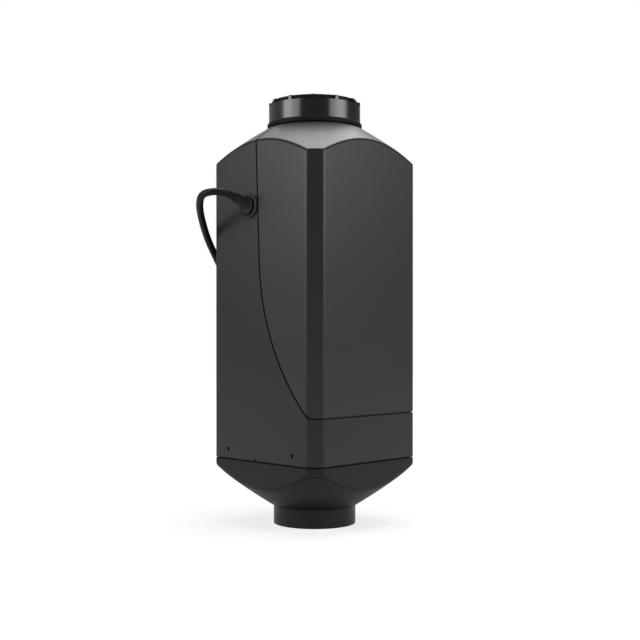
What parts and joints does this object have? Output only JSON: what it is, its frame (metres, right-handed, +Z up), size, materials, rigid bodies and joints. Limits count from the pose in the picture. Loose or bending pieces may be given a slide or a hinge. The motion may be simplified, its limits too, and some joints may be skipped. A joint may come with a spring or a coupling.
{
  "type": "diesel air heater",
  "caption": "Upright fuel-fired air heater: chamfered square plastic casing, round inlet cap, tapered outlet spigot, finned exchanger with mounting foot, side cable.",
  "frame": {"origin": "centre of the warm-air outlet spigot's end face", "axes": "+Z up the heater's axis from outlet to inlet; +X the removable cover's face; -Y the face with the cable grommet; -X the mounting foot"},
  "size_m": [0.1733, 0.1805, 0.3875],
  "materials": {
    "lower_plastic": "fine moulded grain, dark grey",
    "cover_plastic": "fine moulded grain, dark grey",
    "cap_plastic": "glossy black moulding",
    "black_plastic": "moulded, matt black",
    "fan_plastic": "moulded, satin black",
    "cast_aluminium": "die cast, bead blasted",
    "gasket_fibre": "graphite fibre sheet",
    "bright_steel": "zinc plated",
    "hot_steel": "stainless, heat tinted",
    "winding": "varnished copper and laminations",
    "magnet": "sintered ferrite",
    "board": "printed circuit laminate",
    "rubber": "moulded, matt",
    "cable_jacket": "extruded, satin"
  },
  "bodies": {
    "heater_body": {"lower_shell": "lower_plastic", "outlet_hood": "lower_plastic", "fan_shroud": "black_plastic", "heat_exchanger": "cast_aluminium", "base_gasket": "gasket_fibre", "base_studs": "bright_steel", "exhaust_stub": "hot_steel", "air_intake_stub": "black_plastic", "exchanger_gasket": "gasket_fibre", "burner_head": "cast_aluminium", "flame_tube": "hot_steel", "evaporator": "hot_steel", "fuel_pipe": "hot_steel", "glow_plug": "hot_steel", "blower_gasket": "gasket_fibre", "blower_housing": "cast_aluminium", "blower_cover": "cast_aluminium", "clamp_bolts": "bright_steel", "motor_can": "bright_steel", "motor_cap": "black_plastic", "motor_screws": "bright_steel", "lower_bearing": "bright_steel", "upper_bearing": "bright_steel", "motor_magnets": "magnet", "control_bracket": "bright_steel", "control_case": "black_plastic", "circuit_board": "board", "harness_header": "black_plastic", "sensor_header": "black_plastic", "control_lid": "black_plastic", "lid_screws": "bright_steel", "overheat_sensor": "black_plastic", "sensor_clip": "bright_steel", "glow_plug_lead": "cable_jacket", "sensor_lead": "cable_jacket", "motor_lead": "cable_jacket", "harness_lead": "cable_jacket", "cable_grommet": "rubber", "cable": "cable_jacket", "cable_connector": "black_plastic"},
    "rotor": {"rotor_shaft": "bright_steel", "armature": "winding", "combustion_impeller": "fan_plastic", "fan_wheel": "fan_plastic"},
    "cover": {"cover_shell": "cover_plastic"},
    "cap": {"inlet_cap": "cap_plastic"}
  },
  "joints": [
    {"name": "rotor_spin", "type": "hinge", "parent": "heater_body", "child": "rotor", "pos_m": [0, 0, 0.33], "axis": [0, 0, 1], "continuous": true},
    {"name": "cover_removal", "type": "slide", "parent": "heater_body", "child": "cover", "axis": [1, 0, 0], "range_m": [0, 0.08]},
    {"name": "cap_removal", "type": "slide", "parent": "heater_body", "child": "cap", "axis": [0, 0, 1], "range_m": [0, 0.045]}
  ]
}
